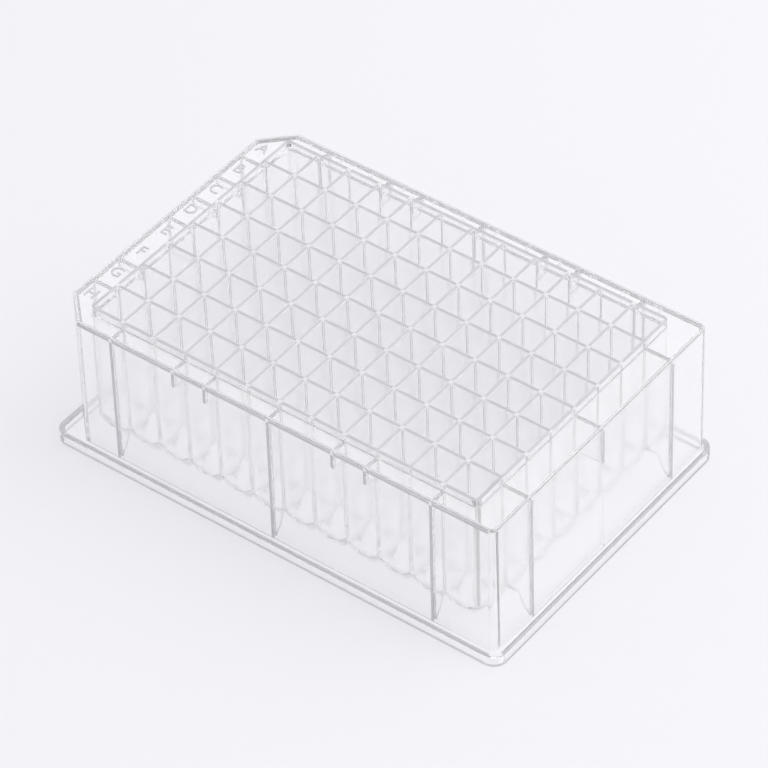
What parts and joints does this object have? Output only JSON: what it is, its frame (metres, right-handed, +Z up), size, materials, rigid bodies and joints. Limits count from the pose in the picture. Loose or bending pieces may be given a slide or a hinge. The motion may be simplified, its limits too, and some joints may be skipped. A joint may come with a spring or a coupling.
{
  "type": "deep-well plate",
  "caption": "Clear moulded laboratory plate with a grid of deep square wells, conical well floors, a ribbed skirt and a flanged foot; holds liquid samples.",
  "frame": {"origin": "centre of the footprint, on the plane that the foot stands on", "axes": "+X along the rows from column 1 to column 12, +Y along the columns from row H to row A, +Z up"},
  "size_m": [0.1278, 0.0854, 0.0415],
  "materials": {
    "clear_plastic": "clear, polished moulded plastic"
  },
  "bodies": {
    "root": {"well_plate": "clear_plastic"}
  },
  "joints": []
}
